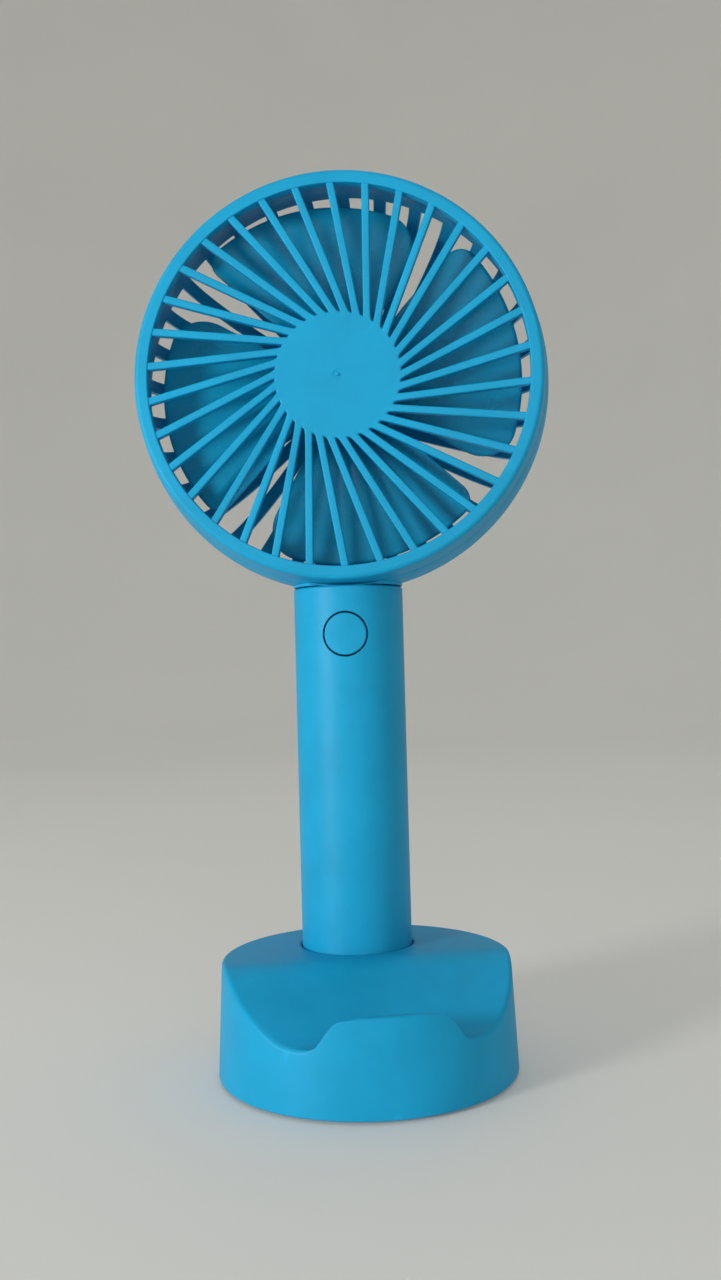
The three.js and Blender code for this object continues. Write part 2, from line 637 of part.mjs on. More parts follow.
// Three wound poles on a core.
function armature() {
  const low = motorFront + 3.4;
  const high = motorBack - 2.6;
  let made = rodY(2.8, low, high, 24);
  for (let i = 0; i < 3; i++) {
    const pole = box(-1.1, 1.1, low, high, 0, 7.4);
    const shoe = tubeY(8.2, 7.0, low, high, 36).intersect(box(-4.6, 4.6, low - 1, high + 1, 2, 20));
    const winding = box(-2.6, 2.6, low + 0.5, high - 0.5, 2.2, 6.6);
    made = made.add(union(pole, shoe, winding).rotate([0, i * 120, 0]));
  }
  return made.subtract(rodY(shaftRadius + 0.15, 0, 60, 16));
}

function endCap() {
  let made = tubeY(motorRadius, 3.2, motorBack + GAP, motorBack + 1.6, 48);
  for (const side of [-1, 1]) {
    made = made.subtract(box(side * 6 - 1.4, side * 6 + 1.4, motorBack, motorBack + 3, -0.6, 0.6));
  }
  return made;
}

// A thin plate screwed on two posts keeps the motor in its cup.
function motorClamp() {
  const low = motorFront - 1.3;
  const high = motorFront - 0.3;
  let made = rodY(13.4, low, high, 40);
  for (const side of [-1, 1]) {
    made = made.add(rodY(2.7, low, high, 20).translate(side * motorScrewCircle, 0, 0));
    const [from, to] = side > 0 ? [10, motorScrewCircle] : [-motorScrewCircle, -10];
    made = made.add(box(from, to, low, high, -2.7, 2.7));
  }
  made = made.subtract(rodY(6.5, low - 1, high + 1, 32));
  for (const side of [-1, 1]) {
    made = made.subtract(rodY(1.2, low - 1, high + 1, 12).translate(side * motorScrewCircle, 0, 0));
  }
  return made;
}

piece("motor_can", motorCan(), steel, head);
piece("motor_magnet_1", magnet(1), darkSteel, head);
piece("motor_magnet_2", magnet(-1), darkSteel, head);
piece("motor_armature", armature(), copper, head);
piece("motor_commutator", tubeY(2.3, shaftRadius + 0.15, motorBack - 2.3, motorBack - 0.6, 24), copper, head);
const bush = (low, high) => tubeY(2.9, shaftRadius + 0.08, low, high, 24);
piece("motor_front_bush", bush(motorFront - 0.2, motorFront + 2.2), brass, head);
piece("motor_rear_bush", bush(motorBack + 0.1, motorBack + 1.8), brass, head);
piece("motor_end_cap", endCap(), whitePlastic, head);
piece("motor_clamp_plate", motorClamp(), darkSteel, head);
[-1, 1].forEach((side, i) => {
  const tag = box(side * 6 - 1, side * 6 + 1, motorBack + 0.4, motorBack + 3.2, -0.25, 0.25);
  piece("motor_terminal_" + (i + 1), tag, brass, head);
  const held = piece("motor_screw_" + (i + 1), screw(2.2, 0.8, 0.9, 6.0), steel, head);
  held.rotation.x = -Math.PI / 2;
  held.position.set(side * motorScrewCircle, motorFront - 2.2, 0);
});

// ---- motor leads, from the terminals down the closed strip and through the neck to the board ----
function lead(side) {
  const x = side * 1.5;
  const route = [
    [side * 6, 16.6, headHeight - 1.6], [side * 4.4, 17.0, headHeight - 6], [x, 17.0, headHeight - 11],
    [x, 17.0, 156], [x, 16.6, 148], [x, 15.6, 141.5], [x, 13.6, 135.5], [x, 10.4, 129.5],
    [x, 6.8, 126], [x, 4.3, 122.6], [x, 4.2, 118], [x, 4.6, boardFoot + boardSize[2] + 0.8],
  ];
  return wire(route, 0.55, 30, 6);
}
piece("motor_lead_red", lead(1), () => material(0xb3262a, 0.5), fan);
piece("motor_lead_black", lead(-1), () => material(0x17181a, 0.5), fan);

export default object;
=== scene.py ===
"""Looks of the handheld fan in its desk dock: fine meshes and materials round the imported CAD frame."""
import json
import math

import bmesh
import bpy
from mathutils import Matrix, Vector


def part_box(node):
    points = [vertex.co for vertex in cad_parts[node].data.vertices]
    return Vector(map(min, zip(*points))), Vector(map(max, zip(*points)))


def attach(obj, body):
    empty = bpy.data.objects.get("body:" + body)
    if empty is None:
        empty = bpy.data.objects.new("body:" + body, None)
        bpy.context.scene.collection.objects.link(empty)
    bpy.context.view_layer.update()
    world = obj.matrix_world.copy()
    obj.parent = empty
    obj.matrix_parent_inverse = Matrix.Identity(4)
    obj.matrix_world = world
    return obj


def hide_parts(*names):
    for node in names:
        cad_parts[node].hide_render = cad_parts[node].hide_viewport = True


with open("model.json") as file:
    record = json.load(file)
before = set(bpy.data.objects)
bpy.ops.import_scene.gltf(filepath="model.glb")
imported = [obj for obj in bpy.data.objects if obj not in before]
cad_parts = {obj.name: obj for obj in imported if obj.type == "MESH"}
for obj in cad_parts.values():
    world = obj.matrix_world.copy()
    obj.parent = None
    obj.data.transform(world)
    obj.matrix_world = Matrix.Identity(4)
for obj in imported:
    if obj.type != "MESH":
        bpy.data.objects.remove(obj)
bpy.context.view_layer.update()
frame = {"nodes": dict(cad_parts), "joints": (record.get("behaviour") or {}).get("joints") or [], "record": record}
NODES = frame["nodes"]
JOINTS = {joint["name"]: joint for joint in frame["joints"]}
SLOT_OF = {row["node"]: row["material_slot"] for row in frame["record"]["subparts"]}

# ---- where things are, in millimetres, from the frame --------------------------------------------
MM = 0.001
TAU = 2 * math.pi
ON_AXIS = 1e-6


def low(node, axis=2):
    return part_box(node)[0][axis] / MM


def high(node, axis=2):
    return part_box(node)[1][axis] / MM


handle_axis = Vector(JOINTS["handle_turn"]["pos_m"]) / MM
blade_axis = Vector(JOINTS["blade_spin"]["axis"])
head_height = JOINTS["blade_spin"]["pos_m"][2] / MM
fan_turn = math.atan2(blade_axis.x, -blade_axis.y)

DOCK = Matrix.Identity(4)
FACING_FRONT = Matrix.Rotation(math.radians(90), 4, "X")
FAN = Matrix.Translation(handle_axis) @ Matrix.Rotation(fan_turn, 4, "Z")
HEAD_FRONT = -18.0  # front face of the grille, before the handle's axis
HEAD = FAN @ Matrix.Translation((0, HEAD_FRONT, head_height))
ABOUT_Y = Matrix.Rotation(math.radians(-90), 4, "X")  # a shape turned about Z, laid about the blade axis
HEAD_ROUND = HEAD @ ABOUT_Y

# ---- shapes shared with the CAD model, millimetres -----------------------------------------------
DOCK_BOTTOM_RADIUS = 37.0
DOCK_TOP_RADIUS = 35.7
DOCK_HEIGHT = high("dock_shell")
DOCK_LIFT = low("dock_shell")
DOCK_EASE = 1.1
DOCK_FOOT_EASE = 0.5
DOCK_LIP_HEIGHT = 22.9
SLOPE_TOP = 5.5  # distances before the dock's middle
SLOPE_FOOT = 24.6
SLOPE_FOOT_HEIGHT = 16.7
CREST_REACH = 3.5
UNDERSIDE_RADIUS = 34.75
UNDERSIDE_DEPTH = 4.0
PAD_GROOVES = 5
PAD_GROOVE_PITCH = 5.6
PAD_GROOVE_DEPTH = 0.35
SOCKET_RADIUS = 14.55
SOCKET_FLOOR = low("battery_cap") - 0.3
HANDLE_RADIUS = 14.2
HANDLE_WALL = 2.0
HANDLE_TOP = high("handle_tube")
HANDLE_FOOT = low("handle_tube")
BUTTON_RADIUS = 5.3
BUTTON_GAP = 0.4
BUTTON_FLANGE_RADIUS = 6.2
BUTTON_FLANGE = 9.9
BUTTON_HEIGHT = (low("power_button") + high("power_button")) / 2
USB_HEIGHT = (low("usb_socket") + high("usb_socket")) / 2
LIGHT_HEIGHT = (low("charge_light") + high("charge_light")) / 2
NECK_SCREW_HEIGHT = (low("neck_screw") + high("neck_screw")) / 2

HEAD_DEPTH = 38.0
SHELL_RADIUS = 53.5
SHELL_WIDEST = 16.0
SHELL_WALL = 1.8
RING_INNER = 47.9
RING_OUTER = 51.3
RING_BACK = 7.0
RING_BACK_RADIUS = 52.2
RIM_DEPTH = 3.0
RIM_START = 49.0  # where the rim's outline starts and ends, on the back of its inner lip
SEAM = 0.3
SHELL_FRONT = RING_BACK + 0.22
HUB_RADIUS = 16.0
HUB_FRONT = 1.2
RIM_SPOKE_FRONT = 0.2
SPOKES = 34
SPOKE_WIDTH = 1.9
SPOKE_DEPTH = 2.2
SPOKE_SWEEP = math.radians(23.5)
SPOKE_PHASE = math.radians(-1.1)
REAR_RIBS = 33
REAR_RIB_WIDTH = 3.2
REAR_RIB_INNER = 18.5
REAR_RIB_OUTER = 52.9
REAR_RIB_SWEEP = math.radians(6)
REAR_RIB_PHASE = math.radians(306.7)
CLOSED_DEPTH = 19.5

BLADES = 4
BLADE_TIP = 46.6
BLADE_HALF_SPAN = math.radians(38.5)
BLADE_PHASE = math.radians(81)
BLADE_CORNERS = (5.0, 10.0)
BLADE_FRONT = 7.2
BLADE_BACK = 17.2
BLADE_THICKNESS = 1.2
BLADE_TIP_ZONE = 10.5  # rows of points get closer over this length
BLADE_ROUNDING = (0, 0.06, 0.2, 0.45, 0.8)  # distances from an edge at which its rounding has points
IMPELLER_HUB = 12.8
IMPELLER_WALL = 1.6
IMPELLER_BOSS = 3.0
MOTOR_RADIUS = 12.0
POST_RADIUS = 2.4

STUDIO_RADIUS = 2600
STUDIO_CURVE = 1400
STUDIO_HEIGHT = 3000

# ---- how finely round pieces are divided ---------------------------------------------------------
DOCK_SEGMENTS = 192
HANDLE_SEGMENTS = 192
RIM_SEGMENTS = 272
HEAD_SEGMENTS = 136
HUB_SEGMENTS = 128
NECK_SEGMENTS = 160
RIM_STEPS = 8
WALL_STEPS = 8
FOOT_STEPS = 3
DOCK_COLUMNS = 48
DOCK_ROWS = 120

# ---- camera, fitted to the photograph's viewing angle --------------------------------------------
CAMERA_PLACE = (-0.04747, -0.29420, 0.09882)
CAMERA_TURN = (math.radians(91.479), math.radians(1.519), math.radians(-9.249))
CAMERA_LENS = 33.49
CAMERA_SENSOR = 36.0


# ---- mesh tools ----------------------------------------------------------------------------------
def rounded(corners, steps=6):
    """An open outline through (x, y, radius) corners, with an arc in place of each corner."""
    line = []
    for i, (x, y, radius) in enumerate(corners):
        here = Vector((x, y))
        if radius == 0 or i in (0, len(corners) - 1):
            line.append((x, y))
            continue
        back = (Vector(corners[i - 1][:2]) - here).normalized()
        ahead = (Vector(corners[i + 1][:2]) - here).normalized()
        half = back.angle(ahead) / 2
        middle = here + (back + ahead).normalized() * (radius / math.sin(half))
        start = here + back * (radius / math.tan(half)) - middle
        end = here + ahead * (radius / math.tan(half)) - middle
        swing = start.angle_signed(end)
        for k in range(steps + 1):
            turned = start.copy()
            turned.rotate(Matrix.Rotation(-swing * k / steps, 2))
            line.append(tuple(middle + turned))
    return line


def bezier(points, t):
    """The point at share t of a curve with the given control points."""
    while len(points) > 1:
        points = [(a[0] + (b[0] - a[0]) * t, a[1] + (b[1] - a[1]) * t) for a, b in zip(points, points[1:])]
    return points[0]


def solid(name, bm, place=DOCK):
    """A closed mesh object from a bmesh in millimetres, put in the row frame."""
    bmesh.ops.recalc_face_normals(bm, faces=bm.faces)
    mesh = bpy.data.meshes.new(name)
    bm.to_mesh(mesh)
    bm.free()
    mesh.transform(Matrix.Scale(MM, 4) @ place)
    made = bpy.data.objects.new(name, mesh)
    bpy.context.scene.collection.objects.link(made)
    return made


def face_between(bm, corners):
    """A face through the corners, leaving out any that are the same point."""
    distinct = list(dict.fromkeys(corners))
    if len(distinct) > 2:
        bm.faces.new(distinct)


def turn_outline(bm, profile, segments, closed):
    """Adds the surface that (radius, height) points make when turned about Z."""
    rings = []
    for radius, height in profile:
        if radius < ON_AXIS:
            rings.append([bm.verts.new((0, 0, height))] * segments)
            continue
        turns = [TAU * i / segments for i in range(segments)]
        points = [(radius * math.cos(turn), radius * math.sin(turn), height) for turn in turns]
        rings.append([bm.verts.new(point) for point in points])
    pairs = list(zip(rings, rings[1:]))
    if closed:
        pairs.append((rings[-1], rings[0]))
    for lower, upper in pairs:
        for i in range(segments):
            j = (i + 1) % segments
            face_between(bm, (lower[i], lower[j], upper[j], upper[i]))


def revolve(name, profile, segments, place=DOCK):
    """A solid turned about Z. A profile that stays off the axis closes on itself."""
    bm = bmesh.new()
    turn_outline(bm, profile, segments, profile[0][0] > ON_AXIS or profile[-1][0] > ON_AXIS)
    return solid(name, bm, place)


def block(name, lowest, highest, place=DOCK):
    """A box between two corners."""
    bm = bmesh.new()
    bmesh.ops.create_cube(bm, size=1)
    size = Vector(highest) - Vector(lowest)
    middle = (Vector(highest) + Vector(lowest)) / 2
    shape = Matrix.Translation(middle) @ Matrix.Diagonal((*size, 1))
    bmesh.ops.transform(bm, matrix=shape, verts=bm.verts)
    return solid(name, bm, place)


def loft(name, sections, place=DOCK):
    """Closed sections of equal length joined along their order, with both ends capped."""
    bm = bmesh.new()
    rings = [[bm.verts.new(point) for point in section] for section in sections]
    for ring, following in zip(rings, rings[1:]):
        for i in range(len(ring)):
            j = (i + 1) % len(ring)
            bm.faces.new((ring[i], ring[j], following[j], following[i]))
    bm.faces.new(rings[0])
    bm.faces.new(rings[-1])
    return solid(name, bm, place)


def bake_modifiers(made):
    """Applies the object's modifiers to its mesh."""
    graph = bpy.context.evaluated_depsgraph_get()
    mesh = bpy.data.meshes.new_from_object(made.evaluated_get(graph))
    made.modifiers.clear()
    old = made.data
    made.data = mesh
    bpy.data.meshes.remove(old)
    return made


def eased_block(name, lowest, highest, radius, steps, place):
    """A block with all its edges rounded."""
    made = block(name, lowest, highest, place)
    ease = made.modifiers.new("ease", "BEVEL")
    ease.width = radius * MM
    ease.segments = steps
    return bake_modifiers(made)


def combine(made, others, operation):
    """Joins the others to a solid ("UNION") or cuts them out of it ("DIFFERENCE"), and removes them."""
    for other in others:
        step = made.modifiers.new(operation, "BOOLEAN")
        step.operation = operation
        step.solver = "MANIFOLD"
        step.object = other
    bake_modifiers(made)
    for other in others:
        bpy.data.objects.remove(other)
    return made


def warp(made, move, place=DOCK):
    """Moves every vertex by a function of its place in the given frame, in millimetres."""
    back = (Matrix.Scale(MM, 4) @ place).inverted()
    ahead = Matrix.Scale(MM, 4) @ place
    for vertex in made.data.vertices:
        vertex.co = ahead @ Vector(move(*(back @ vertex.co)))
    return made


def in_fan(node):
    """A CAD node's vertices in the fan's own frame, in millimetres."""
    back = (Matrix.Scale(MM, 4) @ FAN).inverted()
    return [back @ vertex.co for vertex in NODES[node].data.vertices]


def low_in_fan(node, axis):
    return min(point[axis] for point in in_fan(node))


def high_in_fan(node, axis):
    return max(point[axis] for point in in_fan(node))


def rod(radius, start, end):
    """The outline of a plain round bar."""
    return [(0, start), (radius, start), (radius, end), (0, end)]


def low_depth(node):
    """The front of a CAD node along the blade axis, behind the grille's face."""
    return low_in_fan(node, 1) - HEAD_FRONT


def motor_screw_circle():
    """How far the motor's screws are from the blade axis."""
    return abs(low_in_fan("motor_screw_1", 0) + high_in_fan("motor_screw_1", 0)) / 2


def at_height(height):
    """The fan's own frame, raised up its handle."""
    return FAN @ Matrix.Translation((0, 0, height))


def finish_piece(made, name, body, slot, material, *nodes, sharp=32):
    """Names a piece, shades it, puts it on its body and hides the CAD nodes it stands for."""
    made.name = name
    made.data.name = name
    made.data.shade_smooth()
    made.data.set_sharp_from_angle(angle=math.radians(sharp))
    even = made.modifiers.new("even_shading", "WEIGHTED_NORMAL")
    even.keep_sharp = True
    made.data.materials.clear()
    made.data.materials.append(material)
    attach(made, body)
    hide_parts(*nodes)
    return made


# ---- materials -----------------------------------------------------------------------------------
class Nodes:
    """A material's node tree with short calls for making and joining nodes."""

    def __init__(self, name):
        self.material = bpy.data.materials.new(name)
        self.material.use_nodes = True
        self.tree = self.material.node_tree
        self.shader = self.tree.nodes["Principled BSDF"]
        self.place = self.add("ShaderNodeTexCoord").outputs["Object"]

    def add(self, kind, **values):
        node = self.tree.nodes.new(kind)
        for key, value in values.items():
            if hasattr(node, key):
                setattr(node, key, value)
            else:
                node.inputs[key.replace("_", " ")].default_value = value
        return node

    def join(self, source, target):
        self.tree.links.new(source, target)

    def noise(self, scale, detail=2.0, roughness=0.5):
        node = self.add("ShaderNodeTexNoise", Scale=scale, Detail=detail, Roughness=roughness)
        self.join(self.place, node.inputs["Vector"])
        return node.outputs["Fac"]

    def ramp(self, source, stops):
        node = self.add("ShaderNodeValToRGB")
        first, last = node.color_ramp.elements[0], node.color_ramp.elements[1]
        first.position, first.color = stops[0][0], (*stops[0][1], 1)
        last.position, last.color = stops[-1][0], (*stops[-1][1], 1)
        for position, colour in stops[1:-1]:
            extra = node.color_ramp.elements.new(position)
            extra.color = (*colour, 1)
        self.join(source, node.inputs["Fac"])
        return node.outputs["Color"]

    def spread(self, source, lowest, highest, start=0.3, end=0.7):
        node = self.add("ShaderNodeMapRange")
        for key, value in zip(("From Min", "From Max", "To Min", "To Max"), (start, end, lowest, highest)):
            node.inputs[key].default_value = value
        self.join(source, node.inputs["Value"])
        return node.outputs["Result"]

    def bump(self, source, strength, distance, before=None):
        node = self.add("ShaderNodeBump", Strength=strength, Distance=distance)
        self.join(source, node.inputs["Height"])
        if before:
            self.join(before, node.inputs["Normal"])
        return node.outputs["Normal"]

    def set(self, **values):
        for key, value in values.items():
            self.shader.inputs[key.replace("_", " ")].default_value = value


def shade(colour, factor):
    return tuple(min(1.0, channel * factor) for channel in colour)


def moulded_plastic(name, colour, roughness=0.46, grain=2600, grain_strength=0.22):
    """Injection-moulded plastic: spark-eroded grain, faint flow marks, polished and lightly rubbed edges."""
    nodes = Nodes(name)
    flow = nodes.noise(55, 3, 0.55)
    tone = nodes.ramp(flow, [(0.35, shade(colour, 0.94)), (0.5, colour), (0.68, shade(colour, 1.06))])
    edges = nodes.add("ShaderNodeNewGeometry").outputs["Pointiness"]
    rubbed = nodes.spread(edges, 0.0, 0.30, 0.53, 0.62)
    blend = nodes.add("ShaderNodeMix", data_type="RGBA")
    nodes.join(rubbed, blend.inputs["Factor"])
    nodes.join(tone, blend.inputs[6])
    blend.inputs[7].default_value = (*shade(colour, 1.35), 1)
    nodes.join(blend.outputs[2], nodes.shader.inputs["Base Color"])
    grain_height = nodes.noise(grain, 2, 0.6)
    smudges = nodes.noise(26, 4, 0.6)
    nodes.join(nodes.spread(smudges, roughness - 0.05, roughness + 0.08), nodes.shader.inputs["Roughness"])
    fine = nodes.bump(grain_height, grain_strength, 0.00006)
    nodes.join(nodes.bump(flow, 0.05, 0.0004, fine), nodes.shader.inputs["Normal"])
    nodes.set(IOR=1.5, Specular_IOR_Level=0.2)
    return nodes.material


def clear_plastic(name, colour):
    """Polished see-through plastic tinted in the mass."""
    nodes = Nodes(name)
    flow = nodes.noise(38, 2, 0.5)
    tone = nodes.ramp(flow, [(0.3, shade(colour, 0.88)), (0.7, shade(colour, 1.10))])
    nodes.join(tone, nodes.shader.inputs["Base Color"])
    nodes.join(nodes.spread(nodes.noise(90, 3, 0.6), 0.22, 0.34), nodes.shader.inputs["Roughness"])
    nodes.join(nodes.bump(nodes.noise(420, 2, 0.5), 0.04, 0.0001), nodes.shader.inputs["Normal"])
    nodes.set(Transmission_Weight=0.12, IOR=1.45, Specular_IOR_Level=0.2)
    return nodes.material


def soft_rubber(name, colour):
    nodes = Nodes(name)
    cloud = nodes.noise(120, 4, 0.6)
    nodes.join(nodes.ramp(cloud, [(0.3, shade(colour, 0.8)), (0.7, shade(colour, 1.3))]),
               nodes.shader.inputs["Base Color"])
    nodes.join(nodes.spread(nodes.noise(500), 0.72, 0.9), nodes.shader.inputs["Roughness"])
    nodes.join(nodes.bump(nodes.noise(2200, 3, 0.6), 0.35, 0.0001), nodes.shader.inputs["Normal"])
    nodes.set(IOR=1.45)
    return nodes.material


def bare_metal(name, colour, roughness=0.3, streak=(900, 900, 60)):
    """Plated or drawn metal with fine streaks along its length."""
    nodes = Nodes(name)
    stretch = nodes.add("ShaderNodeMapping")
    nodes.join(nodes.place, stretch.inputs["Vector"])
    stretch.inputs["Scale"].default_value = streak
    lines = nodes.add("ShaderNodeTexNoise", Scale=6.0, Detail=4.0)
    nodes.join(stretch.outputs["Vector"], lines.inputs["Vector"])
    nodes.join(nodes.ramp(lines.outputs["Fac"], [(0.3, shade(colour, 0.82)), (0.7, shade(colour, 1.08))]),
               nodes.shader.inputs["Base Color"])
    nodes.join(nodes.spread(lines.outputs["Fac"], roughness - 0.08, roughness + 0.12),
               nodes.shader.inputs["Roughness"])
    nodes.join(nodes.bump(lines.outputs["Fac"], 0.15, 0.00003), nodes.shader.inputs["Normal"])
    nodes.set(Metallic=1.0)
    return nodes.material


BLUE = (0.006, 0.345, 0.620)
BLADE_BLUE = (0.002, 0.29, 0.50)

blue_plastic = moulded_plastic("blue_moulded_plastic", BLUE)
MATERIALS = {
    "blue_plastic": blue_plastic,
    "blade_plastic": clear_plastic("blade_clear_plastic", BLADE_BLUE),
    "pad_rubber": soft_rubber("pad_rubber", (0.018, 0.02, 0.022)),
    "steel": bare_metal("zinc_plated_steel", (0.62, 0.63, 0.65)),
    "dark_steel": bare_metal("phosphated_steel", (0.10, 0.10, 0.11), 0.5),
    "magnet": soft_rubber("ferrite", (0.03, 0.03, 0.032)),
    "contact_brass": bare_metal("contact_brass", (0.62, 0.42, 0.14), 0.28),
    "copper": bare_metal("enamelled_copper", (0.55, 0.20, 0.07), 0.3, (1600, 1600, 1600)),
    "black_plastic": moulded_plastic("black_moulded_plastic", (0.012, 0.012, 0.013), 0.5),
    "white_plastic": moulded_plastic("white_moulded_plastic", (0.72, 0.72, 0.69), 0.4),
    "light_pipe": clear_plastic("light_pipe_plastic", (0.85, 0.9, 0.92)),
    "cell_wrap": moulded_plastic("cell_shrink_wrap", (0.05, 0.28, 0.09), 0.3, 400, 0.05),
    "board": moulded_plastic("board_solder_mask", (0.01, 0.13, 0.045), 0.3, 700, 0.1),
    "lead_red": moulded_plastic("lead_insulation_red", (0.42, 0.015, 0.015), 0.35, 900, 0.1),
    "lead_black": moulded_plastic("lead_insulation_black", (0.012, 0.012, 0.013), 0.35, 900, 0.1),
}


# ---- dock ----------------------------------------------------------------------------------------
def wall_radius(z):
    """The dock's tapered outside radius at a height."""
    return DOCK_BOTTOM_RADIUS + (DOCK_TOP_RADIUS - DOCK_BOTTOM_RADIUS) * z / DOCK_HEIGHT


def dock_top_outline():
    """The dock's top from back to front as (y, z): flat, a slope, a rounded groove and a low lip."""
    slope = (DOCK_HEIGHT - SLOPE_FOOT_HEIGHT) / (SLOPE_FOOT - SLOPE_TOP)
    crest_end = (-SLOPE_TOP - CREST_REACH, DOCK_HEIGHT - CREST_REACH * slope)
    crest = [(CREST_REACH - SLOPE_TOP, DOCK_HEIGHT), (-SLOPE_TOP, DOCK_HEIGHT), crest_end]
    valley = [(-SLOPE_FOOT, SLOPE_FOOT_HEIGHT), (-26.6, 15.5), (-30.8, 14.3), (-32.0, 16.8)]
    lip = [(-33.6, 22.2), (-33.85, DOCK_LIP_HEIGHT), (-34.4, DOCK_LIP_HEIGHT)]
    line = [(DOCK_BOTTOM_RADIUS, DOCK_HEIGHT)]
    for curve, steps in ((crest, 12), (valley, 18), (lip, 8)):
        line += [bezier(curve, i / steps) for i in range(steps + 1)]
    return line + [(-DOCK_BOTTOM_RADIUS, DOCK_LIP_HEIGHT)]


def dock_top(outline, y):
    """The height of the dock's top at a place between back and front."""
    for (back, high_end), (ahead, low_end) in zip(outline, outline[1:]):
        if ahead <= y <= back:
            return high_end + (low_end - high_end) * (back - y) / (back - ahead)
    return outline[-1][1]


def dock_stations(outline, back, front):
    """Where the dock's top gets a row of points, back to front: at its bends, and closer at both ends."""
    wanted = [y for y, _ in outline if front < y < back]
    for k in range(DOCK_ROWS + 1):
        reach = back if k < DOCK_ROWS // 2 else -front
        wanted.append(reach * math.cos(math.pi * k / DOCK_ROWS))
    stations = []
    for y in sorted(wanted, reverse=True):
        if not stations or stations[-1] - y > 0.02:
            stations.append(y)
    stations[-1] = front
    return stations


def dock_side(outline, x, y, z):
    """Points below one point of the top's edge: over the rim, down the wall and round the foot."""
    way = Vector((x, y)).normalized()
    corner_z = dock_top(outline, y + way.y * DOCK_EASE)
    wall_start = corner_z - DOCK_EASE
    wall_end = DOCK_LIFT + DOCK_FOOT_EASE
    corner = (*(way * wall_radius(corner_z)), corner_z)
    foot = (*(way * wall_radius(wall_start)), wall_start)
    points = []
    for k in range(1, RIM_STEPS + 1):
        t = k / RIM_STEPS
        points.append([
            (1 - t) ** 2 * p + 2 * t * (1 - t) * q + t * t * r for p, q, r in zip((x, y, z), corner, foot)
        ])
    for k in range(1, WALL_STEPS + 1):
        height = wall_start + (wall_end - wall_start) * k / WALL_STEPS
        points.append((*(way * wall_radius(height)), height))
    for k in range(1, FOOT_STEPS + 1):
        turn = math.pi / 2 * k / FOOT_STEPS
        radius = wall_radius(wall_end) - DOCK_FOOT_EASE * (1 - math.cos(turn))
        points.append((*(way * radius), DOCK_LIFT + DOCK_FOOT_EASE * (1 - math.sin(turn))))
    return points


def build_dock():
    """A tapered drum whose top follows the outline, with an eased rim all round."""
    outline = dock_top_outline()
    back = wall_radius(DOCK_HEIGHT) - DOCK_EASE
    front = DOCK_EASE - wall_radius(outline[-1][1])
    stations = dock_stations(outline, back, front)

    bm = bmesh.new()
    rows = []
    for y in stations:
        z = dock_top(outline, y)
        half = math.sqrt(max(0.0, (wall_radius(z) - DOCK_EASE) ** 2 - y * y))
        if y in (stations[0], stations[-1]) or half < 0.05:
            rows.append([bm.verts.new((0, y, z))] * (DOCK_COLUMNS + 1))
        else:
            across = [half * (2 * i / DOCK_COLUMNS - 1) for i in range(DOCK_COLUMNS + 1)]
            rows.append([bm.verts.new((x, y, z)) for x in across])
    for row, following in zip(rows, rows[1:]):
        for i in range(DOCK_COLUMNS):
            face_between(bm, (row[i], row[i + 1], following[i + 1], following[i]))

    loop = [row[-1] for row in rows] + [row[0] for row in rows[-2:0:-1]]
    sides = [[vertex, *map(bm.verts.new, dock_side(outline, *vertex.co))] for vertex in loop]
    for down, following in zip(sides, sides[1:] + sides[:1]):
        for k in range(len(down) - 1):
            bm.faces.new((down[k], following[k], following[k + 1], down[k + 1]))
    bm.faces.new([down[-1] for down in sides])
    body = solid("dock", bm)

    mouth = SOCKET_RADIUS + 0.5
    above = DOCK_HEIGHT + 5
    bore = revolve("bore", rounded([
        (0, SOCKET_FLOOR, 0), (SOCKET_RADIUS, SOCKET_FLOOR, 0.3), (SOCKET_RADIUS, DOCK_HEIGHT - 0.35, 0.4),
        (mouth, DOCK_HEIGHT + 0.1, 0), (mouth, above, 0), (0, above, 0),
    ], 5), DOCK_SEGMENTS, Matrix.Translation((handle_axis.x, handle_axis.y, 0)))
    recess = revolve("recess", rod(UNDERSIDE_RADIUS, -5, UNDERSIDE_DEPTH), DOCK_SEGMENTS)
    combine(body, [bore, recess], "DIFFERENCE")
    return finish_piece(body, "dock_body", "dock", "blue_plastic", blue_plastic, "dock_shell", sharp=50)


def build_pad():
    """A rubber disc with ring grooves in its underside."""
    radius = (high("dock_grip_pad", 0) - low("dock_grip_pad", 0)) / 2
    top = high("dock_grip_pad")
    corners = [(0, 0, 0)]
    for ring in range(1, PAD_GROOVES + 1):
        middle = ring * PAD_GROOVE_PITCH
        corners += [(middle - 0.8, 0, 0.2), (middle - 0.4, PAD_GROOVE_DEPTH, 0.15)]
        corners += [(middle + 0.4, PAD_GROOVE_DEPTH, 0.15), (middle + 0.8, 0, 0.2)]
    corners += [(radius, 0, 0.35), (radius, top, 0.2), (0, top, 0)]
    pad = revolve("pad", rounded(corners, 3), NECK_SEGMENTS)
    return finish_piece(pad, "dock_pad", "dock", "pad_rubber", MATERIALS["pad_rubber"], "dock_grip_pad")


# ---- handle --------------------------------------------------------------------------------------
def sagitta(x):
    """How far the handle's surface falls back at a distance from its front line."""
    return HANDLE_RADIUS - math.sqrt(max(0.0, HANDLE_RADIUS ** 2 - x * x))


